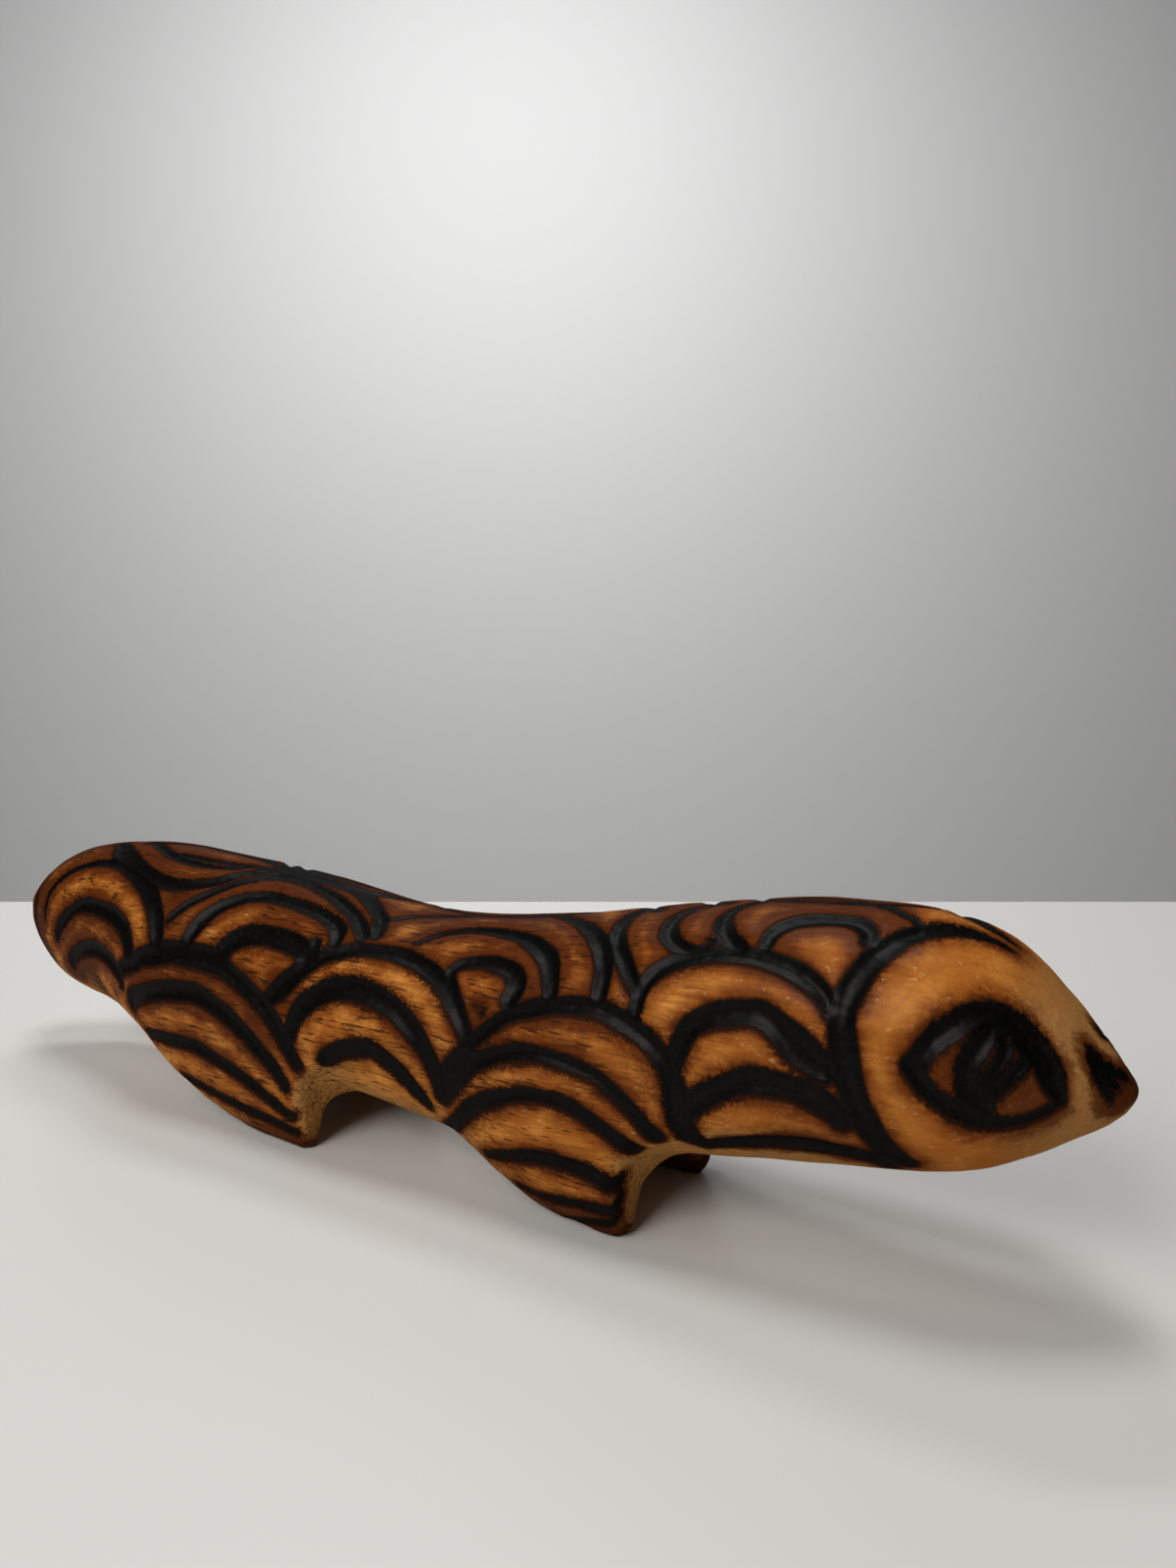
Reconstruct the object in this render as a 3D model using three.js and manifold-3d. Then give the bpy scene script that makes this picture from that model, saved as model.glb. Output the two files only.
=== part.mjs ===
// Stout carved wooden lizard on four stub legs, one solid piece.
// Millimetres. +X runs along the body to the snout, +Z is up, the soles stand on Z = 0.
import * as THREE from "three";
import Module from "manifold-3d";

// Overall length from tail end to snout tip. The free form keeps its pose and proportions:
// every other size is given in thousandths of this length.
const LENGTH = 165;
const share = (thousandths) => (thousandths * LENGTH) / 1000;
const sized = (row) => Object.fromEntries(Object.entries(row).map(([key, value]) => [key, share(value)]));
const HALF_LENGTH = share(500);

// Cross sections along the body: place along the length, back, belly, half width, and sway to the left flank.
const SECTIONS = [
  { x: -500, back: 161.2, belly: 107.9, half: 42.4, sway: 1.2 }, // tail end
  { x: -424.2, back: 192.4, belly: 64.3, half: 55.8, sway: 3.5 }, // tail
  { x: -333.3, back: 206.2, belly: 51.0, half: 71.3, sway: 2.8 }, // root of the tail
  { x: -230.3, back: 203.3, belly: 25.7, half: 89.3, sway: -1.8 }, // hips
  { x: -121.2, back: 195.5, belly: 38.8, half: 80.6, sway: -1.1 }, // loins
  { x: 0, back: 182.2, belly: 32.1, half: 78.8, sway: -2.4 }, // middle of the back
  { x: 121.2, back: 193.6, belly: 24.8, half: 86.9, sway: -2.4 }, // shoulders
  { x: 230.3, back: 214.3, belly: 49.1, half: 82.8, sway: -0.3 }, // neck
  { x: 333.3, back: 228.4, belly: 66.3, half: 79.6, sway: -0.3 }, // cheeks
  { x: 424.2, back: 217.8, belly: 83.0, half: 68.6, sway: 1.4 }, // brow
  { x: 500, back: 151.7, belly: 127.6, half: 14.9, sway: -1.7 }, // snout tip
].map(sized);
// Superellipse power of the cross sections: 2 is an ellipse, more is squarer.
const SECTION_POWER = 2.2;
// Lengths over which the two ends close to a round tip.
const TAIL_ROUND = share(85);
const SNOUT_ROUND = share(15);
// Smallest part of a section that is left at the very tips.
const TIP_SHARE = 0.06;

// Each stub leg is a flattened egg that swells out of the flank, cut off flat in front and along its inner side.
// face: the flat front; x, y, z: the egg's centre; rx, ry, rz: its half sizes;
// inner: distance of the inner side from the middle at floor level;
// lean: how far that side slopes towards the middle for each unit of height.
const FRONT_LEG = {
  ...sized({ face: 211.6, x: 203.1, y: 29.5, z: 66.4, rx: 133.6, ry: 52.7, rz: 78.1, inner: 48.5 }),
  lean: 0.42,
};
const REAR_LEG = {
  ...sized({ face: -64.7, x: -29.5, y: 53.5, z: 74.9, rx: 228.2, ry: 34.2, rz: 85.2, inner: 57.2 }),
  lean: 0.26,
};
const LEG_POWER = 2.3;
// The flat front of a leg sweeps forwards into the flank above this height, in a curve of this radius.
const ARCH_START = share(48.5);
const ARCH_RADIUS = share(24.2);
// Rounding of the knife edges on a leg, and of the hollow where it meets the body.
const EDGE_ROUND = share(9.7);
const BLEND = share(30.3);

// Spacing of the sampling planes: fine near the tips, the leg fronts and the floor, coarse elsewhere.
const FINE_STEP = share(8.8);
const COARSE_STEP = share(15.2);
const SIDE_STEP = share(12.1);
const STEP_REACH = share(97);
const MARGIN = share(18.2);
// Planes below the floor, to which the legs run on before they are cut off level.
const STUB_PLANES = 2;
const STUB_DEPTH = (STUB_PLANES + 0.5) * FINE_STEP;

const WOOD = { color: 0xa8672e, roughness: 0.55, metalness: 0 };

// Smooth interpolation of one column of SECTIONS at x.
function along(key, x) {
  const n = SECTIONS.length;
  const at = (i) => SECTIONS[Math.min(Math.max(i, 0), n - 1)];
  const slope = (i) => (at(i + 1)[key] - at(i - 1)[key]) / (at(i + 1).x - at(i - 1).x);
  const clamped = Math.min(Math.max(x, at(0).x), at(n - 1).x);
  let i = 0;
  while (i < n - 2 && clamped > at(i + 1).x) i++;
  const h = at(i + 1).x - at(i).x;
  const t = (clamped - at(i).x) / h;
  return (
    (1 + 2 * t) * (1 - t) ** 2 * at(i)[key] +
    t * (1 - t) ** 2 * h * slope(i) +
    t * t * (3 - 2 * t) * at(i + 1)[key] +
    t * t * (t - 1) * h * slope(i + 1)
  );
}

// Blended union and blended intersection of two distances, with a fillet of about k.
function blendMin(a, b, k) {
  const h = Math.min(Math.max(0.5 + (0.5 * (b - a)) / k, 0), 1);
  return b * (1 - h) + a * h - k * h * (1 - h);
}
const blendMax = (a, b, k) => -blendMin(-a, -b, k);

// Radial distance to a superellipsoid whose half sizes and offsets from the centre are given in pairs.
function eggDistance(offsets, radii, power) {
  const q = offsets.reduce((s, d, i) => s + (Math.abs(d) / radii[i]) ** power, 0) ** (1 / power);
  if (q < 1e-3) return -Math.min(...radii);
  return Math.hypot(...offsets) * (1 - 1 / q);
}

// Share of the full section that is left where an end closes.
function closing(x) {
  const tail = Math.max((TAIL_ROUND - HALF_LENGTH - x) / TAIL_ROUND, 0);
  const snout = Math.max((x - HALF_LENGTH + SNOUT_ROUND) / SNOUT_ROUND, 0);
  const a = Math.min(Math.max(tail, snout), 1);
  return Math.max(Math.sqrt(1 - a * a), TIP_SHARE);
}

// Signed distance to the trunk, head and tail.
function trunk(x, y, z) {
  const share = closing(x);
  const back = along("back", x);
  const belly = along("belly", x);
  const radii = [along("half", x) * share, ((back - belly) / 2) * share];
  const d = eggDistance([y - along("sway", x), z - (back + belly) / 2], radii, SECTION_POWER);
  return Math.max(d, Math.abs(x) - HALF_LENGTH);
}

// Signed distance to one leg; side is -1 for the right flank and 1 for the left.
function legShape(x, y, z, leg, side) {
  const out = y * side;
  let d = eggDistance([x - leg.x, out - leg.y, z - leg.z], [leg.rx, leg.ry, leg.rz], LEG_POWER);
  const rise = Math.max(z - ARCH_START, 0);
  const front = (x - leg.face - rise ** 2 / (2 * ARCH_RADIUS)) / Math.hypot(1, rise / ARCH_RADIUS);
  d = blendMax(d, front, EDGE_ROUND);
  return blendMax(d, (leg.inner - leg.lean * z - out) / Math.hypot(1, leg.lean), EDGE_ROUND);
}

// Signed distance to the whole figure. Below the floor it keeps its outline at floor level.
function figure(x, y, z) {
  const up = Math.max(z, 0);
  let d = trunk(x, y, up);
  for (const leg of [FRONT_LEG, REAR_LEG])
    for (const side of [-1, 1]) d = blendMin(d, legShape(x, y, up, leg, side), BLEND);
  return Math.max(d, -STUB_DEPTH - z);
}

// Plane places from low to high, closer together near each place in focus.
function planes(low, high, coarse, focus) {
  const places = [low];
  while (places[places.length - 1] < high) {
    const here = places[places.length - 1];
    const away = Math.min(...focus.map((f) => Math.abs(here - f)), STEP_REACH);
    places.push(here + FINE_STEP + ((coarse - FINE_STEP) * away) / STEP_REACH);
  }
  return places;
}

// Moves a point onto the surface along the gradient of the distance.
function settle(p) {
  const e = FINE_STEP / 100;
  const reach = FINE_STEP / 2;
  for (let pass = 0; pass < 4; pass++) {
    const d = figure(...p);
    const g = p.map((_, k) => {
      const a = [...p];
      const b = [...p];
      a[k] += e;
      b[k] -= e;
      return (figure(...a) - figure(...b)) / (2 * e);
    });
    const g2 = Math.max(g[0] ** 2 + g[1] ** 2 + g[2] ** 2, 0.2);
    p = p.map((c, k) => c - Math.min(Math.max((d * g[k]) / g2, -reach), reach));
  }
  return p;
}

// Closed triangle mesh of a distance field: one vertex in each cell that the surface crosses,
// and two triangles across each grid edge that it crosses.
function polygonise(xs, ys, zs) {
  const [nx, ny, nz] = [xs.length, ys.length, zs.length];
  const id = (i, j, k) => (i * ny + j) * nz + k;
  const field = new Float64Array(nx * ny * nz);
  for (let i = 0; i < nx; i++)
    for (let j = 0; j < ny; j++)
      for (let k = 0; k < nz; k++) field[id(i, j, k)] = figure(xs[i], ys[j], zs[k]);

  const vertexOf = new Map();
  const points = [];
  const corners = [0, 1, 2, 3, 4, 5, 6, 7].map((c) => [c & 1, (c >> 1) & 1, c >> 2]);
  const edges = corners.flatMap((a) =>
    corners.filter((b) => b[0] + b[1] + b[2] === a[0] + a[1] + a[2] + 1 && b.every((v, q) => v >= a[q])).map((b) => [a, b]),
  );
  for (let i = 0; i < nx - 1; i++)
    for (let j = 0; j < ny - 1; j++)
      for (let k = 0; k < nz - 1; k++) {
        const sum = [0, 0, 0];
        let hits = 0;
        for (const [a, b] of edges) {
          const fa = field[id(i + a[0], j + a[1], k + a[2])];
          const fb = field[id(i + b[0], j + b[1], k + b[2])];
          if (fa < 0 === fb < 0) continue;
          const t = fa / (fa - fb);
          const pa = [xs[i + a[0]], ys[j + a[1]], zs[k + a[2]]];
          const pb = [xs[i + b[0]], ys[j + b[1]], zs[k + b[2]]];
          pa.forEach((v, q) => (sum[q] += v + (pb[q] - v) * t));
          hits++;
        }
        if (!hits) continue;
        vertexOf.set(id(i, j, k), points.length);
        points.push(settle(sum.map((v) => v / hits)));
      }

  const gap = (a, b) => Math.hypot(...points[a].map((v, q) => v - points[b][q]));
  const triangles = [];
  const quad = (a, b, c, d, flip) => {
    const [p, q, r, s] = (flip ? [a, d, c, b] : [a, b, c, d]).map((cell) => vertexOf.get(cell));
    if (gap(p, r) <= gap(q, s)) triangles.push(p, q, r, p, r, s);
    else triangles.push(q, r, s, q, s, p);
  };
  for (let i = 1; i < nx - 1; i++)
    for (let j = 1; j < ny - 1; j++)
      for (let k = 1; k < nz - 1; k++) {
        const inside = field[id(i, j, k)] < 0;
        if (inside !== field[id(i + 1, j, k)] < 0)
          quad(id(i, j - 1, k - 1), id(i, j, k - 1), id(i, j, k), id(i, j - 1, k), !inside);
        if (inside !== field[id(i, j + 1, k)] < 0)
          quad(id(i - 1, j, k - 1), id(i - 1, j, k), id(i, j, k), id(i, j, k - 1), !inside);
        if (inside !== field[id(i, j, k + 1)] < 0)
          quad(id(i - 1, j - 1, k), id(i, j - 1, k), id(i, j, k), id(i - 1, j, k), !inside);
      }
  return { vertProperties: new Float32Array(points.flat()), triVerts: new Uint32Array(triangles) };
}

const wasm = await Module();
wasm.setup();
const solid = ({ vertProperties, triVerts }) =>
  new wasm.Manifold(new wasm.Mesh({ numProp: 3, vertProperties, triVerts }));

// Closed solid of an indexed box.
function boxSolid(width, depth, height, centre) {
  const box = new THREE.BoxGeometry(width, depth, height).translate(...centre);
  const place = box.getAttribute("position");
  const found = new Map();
  const vertices = [];
  const triVerts = Array.from(box.index.array, (v) => {
    const p = [place.getX(v), place.getY(v), place.getZ(v)];
    const key = p.join();
    if (!found.has(key)) {
      found.set(key, found.size);
      vertices.push(...p);
    }
    return found.get(key);
  });
  return solid({ vertProperties: new Float32Array(vertices), triVerts: new Uint32Array(triVerts) });
}

// The figure is sampled a little past its outline on every side, with a plane exactly at floor level.
const widest = Math.max(...SECTIONS.map((s) => s.half), ...[FRONT_LEG, REAR_LEG].map((l) => l.y + l.ry));
const tallest = Math.max(...SECTIONS.map((s) => s.back));
const xs = planes(-HALF_LENGTH - MARGIN, HALF_LENGTH + MARGIN, COARSE_STEP, [
  -HALF_LENGTH,
  HALF_LENGTH,
  FRONT_LEG.face,
  REAR_LEG.face,
]);
const sideCount = Math.ceil((2 * (widest + MARGIN)) / SIDE_STEP);
const ys = Array.from({ length: sideCount + 1 }, (_, i) => (i - sideCount / 2) * SIDE_STEP);
const above = planes(0, tallest + MARGIN, COARSE_STEP, [0]);
const below = Array.from({ length: STUB_PLANES + 2 }, (_, i) => (i - STUB_PLANES - 2) * FINE_STEP);
const carved = solid(polygonise(xs, ys, [...below, ...above]));

// The soles are cut off level, so that all four legs stand flat.
const under = boxSolid(2 * LENGTH, LENGTH, 2 * STUB_DEPTH, [0, 0, -STUB_DEPTH]);
const shape = carved.subtract(under).getMesh();

const geometry = new THREE.BufferGeometry();
geometry.setAttribute("position", new THREE.BufferAttribute(shape.vertProperties, 3));
geometry.setIndex(new THREE.BufferAttribute(shape.triVerts, 1));
geometry.computeVertexNormals();

const lizard = new THREE.Mesh(geometry, new THREE.MeshStandardMaterial(WOOD));
lizard.name = "lizard";

const root = new THREE.Group();
root.name = "wooden_lizard";
root.add(lizard);

export default root;
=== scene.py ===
"""A stout carved wooden lizard with burnt scale arcs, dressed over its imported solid."""
import logging
import math
from dataclasses import dataclass, field
from enum import Enum

import bmesh
import bpy
import numpy as np
from mathutils import Matrix, Vector, noise
from mathutils.bvhtree import BVHTree
from mathutils.kdtree import KDTree


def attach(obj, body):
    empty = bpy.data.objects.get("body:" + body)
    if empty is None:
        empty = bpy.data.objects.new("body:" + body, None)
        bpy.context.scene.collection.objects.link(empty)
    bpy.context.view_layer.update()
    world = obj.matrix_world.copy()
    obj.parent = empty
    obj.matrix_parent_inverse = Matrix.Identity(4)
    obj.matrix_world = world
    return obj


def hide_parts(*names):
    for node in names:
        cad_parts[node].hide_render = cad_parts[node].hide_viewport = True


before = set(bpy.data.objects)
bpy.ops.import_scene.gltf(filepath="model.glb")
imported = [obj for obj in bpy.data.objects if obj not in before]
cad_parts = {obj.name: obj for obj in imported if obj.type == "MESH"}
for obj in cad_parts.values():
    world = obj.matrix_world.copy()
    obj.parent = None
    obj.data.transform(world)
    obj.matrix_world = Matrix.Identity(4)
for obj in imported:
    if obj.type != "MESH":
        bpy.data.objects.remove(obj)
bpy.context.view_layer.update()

MM = 0.001
LOG = logging.getLogger("lizard")
Place = tuple[float, float]
Span = tuple[float, float]
Triple = tuple[float, float, float]
Colour = tuple[float, float, float]


class Sweep(Enum):
    """Which way a burnt arc bulges."""

    ARCH = 0  # feet apart along the body, crown across its girth
    BOW = 1  # feet apart round the girth, crown along the body


class Side(Enum):
    """The two flanks, as the sign of their turn away from the spine."""

    RIGHT = 1
    LEFT = -1


@dataclass(frozen=True)
class Arc:
    """One burnt line from foot to crown to foot, as two quarters of a superellipse.

    A place on the body is millimetres along it from the middle and degrees round it from the spine. Widths
    are in mm at even stations from the start to the end.
    """

    start: Place
    crown: Place
    end: Place
    widths: tuple[float, ...] = (2.2,)
    powers: Span = (2.0, 2.0)
    sweep: Sweep = Sweep.ARCH
    ends: Span = (0.8, 0.8)

    def places(self, steps: int = 40) -> list[Place]:
        """Places along the line.

        Args:
            steps: places in each quarter.

        Returns:
            The places in order from start to end.
        """
        u, w = self.sweep.value, 1 - self.sweep.value
        quarters = []
        for foot, power in zip((self.start, self.end), self.powers):
            quarter = []
            for k in range(steps + 1):
                angle = math.pi / 2 * k / steps
                run = math.cos(angle) ** (2 / power) if k < steps else 0.0
                rise = math.sin(angle) ** (2 / power)
                place = [0.0, 0.0]
                place[u] = self.crown[u] - (self.crown[u] - foot[u]) * run
                place[w] = foot[w] + (self.crown[w] - foot[w]) * rise
                quarter.append((place[0], place[1]))
            quarters.append(quarter)
        return quarters[0] + quarters[1][-2::-1]


@dataclass(frozen=True)
class Trace:
    """One freehand burnt line, drawn smoothly through a few places on the body."""

    knots: tuple[Place, ...]
    widths: tuple[float, ...] = (2.0,)
    ends: Span = (0.8, 0.8)

    def places(self, steps: int = 10) -> list[Place]:
        """Places along the line.

        Args:
            steps: places between two knots.

        Returns:
            The places in order from the first knot to the last.
        """
        k = [self.knots[0], *self.knots, self.knots[-1]]
        out = []
        for p, q, r, s in zip(k, k[1:], k[2:], k[3:]):
            for j in range(steps):
                t = j / steps
                out.append(tuple(
                    0.5 * (2 * q[i] + (r[i] - p[i]) * t + (2 * p[i] - 5 * q[i] + 4 * r[i] - s[i]) * t * t
                           + (3 * q[i] - p[i] - 3 * r[i] + s[i]) * t ** 3)
                    for i in (0, 1)
                ))
        return [*out, self.knots[-1]]


BOW = Sweep.BOW

# Nests of overlapping scale arcs, from the head to the tail, as the right flank has them.
COLLAR = (Arc((64.4, 134), (59.0, 65), (71.7, 5), (2.2, 2.7, 2.5, 2.3), (1.3, 1.8), BOW, (0.9, 0.2)),)
UPPER_LID = ((65.7, 80), (67.0, 69), (68.5, 61), (69.9, 55), (71.0, 51.5), (73.1, 50.5), (75.2, 53),
             (77.4, 59.5), (80.0, 70.5), (82.1, 83), (83.5, 94))
LOWER_LID = ((65.4, 79), (66.8, 88), (68.6, 95), (70.5, 101), (72.7, 105), (75.4, 106), (78.0, 103),
             (80.6, 99), (82.6, 95))
EYE = (
    Trace(UPPER_LID, (2.1, 2.4, 2.7, 2.4), (1.0, 0.35)),
    Trace(LOWER_LID, (1.9, 1.8, 1.7), (1.1, 0.6)),
    Trace(((72.2, 56), (70.9, 67), (70.2, 77), (70.3, 86), (71.2, 93), (72.1, 97)), (2.1,)),
    Trace(((72.9, 54), (73.6, 64), (73.0, 74), (72.0, 81), (71.3, 88)), (1.6,)),
    Trace(((77.2, 64), (74.7, 78), (72.2, 91)), (1.5,)),
    Trace(((75.0, 55), (76.0, 64)), (1.3,)),
)
NAPE = (
    Arc((49.8, 37), (56.5, 20), (59.6, 31), (1.9, 2.1, 1.9), (2.6, 2.0)),
    Trace(((46.9, 38), (44.7, 30), (43.5, 18), (44.8, 6), (48.4, -2), (54.7, -3), (59.8, 4), (63.8, 17)),
          (2.2, 2.2, 1.4, 1.1, 0.9, 1.2, 1.5), (1.0, 0.5)),
    Trace(((43.3, 38), (41.4, 39), (39.2, 34), (37.9, 27), (37.6, 17), (38.8, 7), (42.0, -2)),
          (1.0, 1.8, 2.1, 1.8, 1.5)),
    Trace(((36.9, 57), (34.8, 46), (32.3, 34), (31.1, 18), (31.6, 2), (34.0, -6)), (1.9, 2.1, 1.8, 1.5)),
    Trace(((43.2, 36.5), (44.2, 34.5), (43.0, 33.5)), (0.4,)),
)
NECK = (
    Arc((37.2, 68), (46.5, 40.5), (57.8, 62), (1.8, 1.9, 2.0), (2.5, 1.7)),
    Arc((42.2, 95), (50.5, 64), (57.7, 86), (2.2, 2.5, 2.6), (2.9, 1.3)),
    Trace(((51.5, 66), (54.5, 77), (57.6, 87)), (1.6, 2.4, 2.2), (0.6, 0.8)),
    Arc((44.0, 106), (50.6, 91.5), (59.0, 108), (2.4, 2.5, 2.8), (1.3, 1.7)),
    Arc((44.1, 132), (51.8, 124.5), (62.4, 143), (1.8, 1.9, 2.3), (1.6, 2.5)),
    Trace(((42.0, 90), (42.6, 104), (43.2, 118), (43.8, 130)), (2.0, 2.9, 2.9, 2.2)),
)
SHOULDER = (
    Trace(((18.1, 87), (21.0, 76), (25.1, 69), (29.3, 66), (33.5, 67), (37.3, 73), (40.1, 81), (41.9, 95),
           (42.9, 122)), (1.6, 1.8, 1.9, 2.1, 2.1, 2.0)),
    Trace(((12.9, 118), (15.2, 108), (17.2, 100), (21.4, 91), (25.4, 88), (29.1, 89), (33.3, 94),
           (36.4, 103), (38.5, 111), (40.3, 120)), (1.5, 1.8, 1.8, 1.5, 1.6, 1.8)),
    Trace(((9.9, 144), (16.6, 119), (21.4, 109), (26.0, 105), (30.2, 107), (33.7, 114), (36.2, 120),
           (37.5, 126)), (2.0, 1.8, 1.5, 1.5, 1.6, 1.9)),
    Trace(((16.7, 141), (21.0, 134), (25.5, 130), (29.0, 130), (32.8, 132), (35.1, 138)),
          (1.0, 1.4, 1.6, 1.8, 1.7)),
    Trace(((20.8, 147), (24.7, 145), (28.7, 143), (32.2, 142), (34.9, 143)), (0.6, 0.8, 1.1, 1.2),
           (0.5, 0.8)),
    Trace(((26.5, 153), (29.9, 149), (32.7, 147), (34.8, 146)), (0.5, 0.8, 0.9), (0.5, 0.8)),
)
SADDLE = (
    Trace(((-3.4, 31), (-0.2, 17), (6.0, 4), (13.0, -2), (19.0, 0), (24.9, 17), (30.0, 34), (32.2, 47),
           (32.8, 62)), (1.0, 1.0, 1.0, 1.1, 1.5, 2.0, 2.3, 2.2)),
    Trace(((4.9, 45), (7.3, 33), (11.5, 27), (16.9, 29.5), (21.3, 36), (25.0, 47), (26.9, 62)),
          (0.8, 1.3, 1.6, 1.9, 2.4, 2.4)),
    Trace(((12.1, 61), (13.1, 54), (16.6, 51), (20.3, 53.5), (21.9, 60), (21.4, 68)), (1.4, 1.8, 2.4, 2.5)),
    Trace(((12.0, 60), (14.4, 74), (16.6, 85), (17.8, 93)), (1.8, 1.9, 1.6)),
    Trace(((16.8, 72), (18.6, 73), (18.2, 76)), (0.3,)),
)
BELLY = (
    Trace(((-14.6, 90), (-12.5, 81), (-9.9, 73), (-7.1, 64), (-2.3, 56), (3.6, 54.5), (8.1, 58.5),
           (11.8, 65.5), (14.8, 77), (17.2, 92)), (2.2, 2.4, 2.2, 2.0, 2.2, 2.4, 2.6)),
    Arc((-10.3, 103), (-0.8, 76), (12.4, 119), (2.5, 2.7, 2.5), (1.7, 2.0)),
    Arc((-5.4, 115), (1.8, 103), (9.1, 126), (2.3, 2.7, 2.3), (1.5, 1.2)),
    Trace(((12.0, 118), (14.0, 106), (16.8, 94)), (2.2, 2.8, 2.6)),
)
HIP = (
    Trace(((-34.9, 60), (-33.1, 50), (-30.6, 40), (-28.0, 27), (-24.9, 16), (-21.4, 12), (-15.0, 16),
           (-8.0, 30), (-3.0, 48)), (1.3, 1.4, 1.5, 1.6, 2.0, 2.2)),
    Arc((-30.9, 76), (-20.9, 33), (-6.4, 56), (2.2, 2.0, 2.3), (1.7, 2.2)),
    Arc((-24.6, 77), (-17.5, 58.0), (-9.6, 66), (2.6, 2.8, 2.6)),
    Trace(((-9.4, 58), (-9.5, 68), (-11.2, 78), (-14.0, 88)), (2.4, 2.6, 2.2)),
    Trace(((-43.8, 92), (-37.8, 81), (-32.4, 76), (-27.4, 75), (-23.2, 77)), (2.4, 3.0, 2.4)),
)
THIGH = (
    Trace(((-32.0, 79), (-25.3, 78.5), (-20.7, 84), (-16.3, 92), (-13.2, 101), (-11.2, 110), (-9.6, 117)),
          (2.2, 2.4, 2.6, 2.5, 2.4, 2.0)),
    Arc((-42.6, 112), (-28.5, 95.5), (-12.2, 127), (2.4, 2.7, 1.8), (1.8, 1.2)),
    Arc((-40.9, 129), (-30.0, 123), (-11.6, 137.5), (1.5, 1.6, 1.4), (2.0, 1.2), ends=(0.8, 0.5)),
    Arc((-35.4, 142.5), (-27.5, 140), (-11.7, 143), (0.8, 1.1, 1.2), ends=(0.6, 0.5)),
)
RUMP = (
    Trace(((-60.5, 4), (-56.0, 16), (-49.4, 29), (-43.7, 37), (-37.4, 39), (-32.0, 32), (-28.8, 16),
           (-24.5, 8), (-17.9, 9)), (2.6, 2.8, 2.6, 2.2, 2.0, 1.8, 1.6)),
    Trace(((-54.6, -2), (-47.4, 12), (-42.7, 17.5), (-35.6, 19), (-31.1, 12)), (1.6, 1.6, 1.3)),
    Trace(((-44.5, -12), (-38.5, -12), (-31.1, -8), (-22.5, 1), (-12.1, 4), (-6.5, 19), (-3.0, 30)),
          (1.4, 1.4, 1.5, 1.6, 1.8)),
    Trace(((-12.5, -4), (-7.5, 13), (-3.8, 29), (-1.3, 46)), (1.6, 1.8, 2.0)),
)
TAIL = (
    Trace(((-69.8, 74), (-69.2, 54), (-67.2, 41), (-63.8, 32), (-58.9, 28), (-54.0, 29), (-48.7, 35),
           (-43.0, 44), (-38.9, 55), (-36.6, 66), (-35.8, 76)), (0.8, 0.9, 1.0, 1.5, 2.2, 2.7, 2.7)),
    Arc((-65.8, 89), (-57.6, 59), (-41.6, 88), (1.7, 2.0, 2.6), (1.5, 2.4)),
    Arc((-62.9, 113), (-53.0, 87.5), (-44.6, 101), (1.6, 2.2, 2.2), (1.6, 1.9)),
    Arc((-67.5, 8), (-77.5, 60), (-71.0, 122), (0.9,), (1.6, 1.6), BOW, (0.4, 0.4)),
    Trace(((-58.6, 12), (-54.5, 22), (-50.0, 30)), (1.6, 2.6, 2.6)),
)
NESTS = {
    "collar": COLLAR,
    "eye": EYE,
    "nape": NAPE,
    "neck": NECK,
    "shoulder": SHOULDER,
    "saddle": SADDLE,
    "belly": BELLY,
    "hip": HIP,
    "thigh": THIGH,
    "rump": RUMP,
    "tail": TAIL,
}
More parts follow.
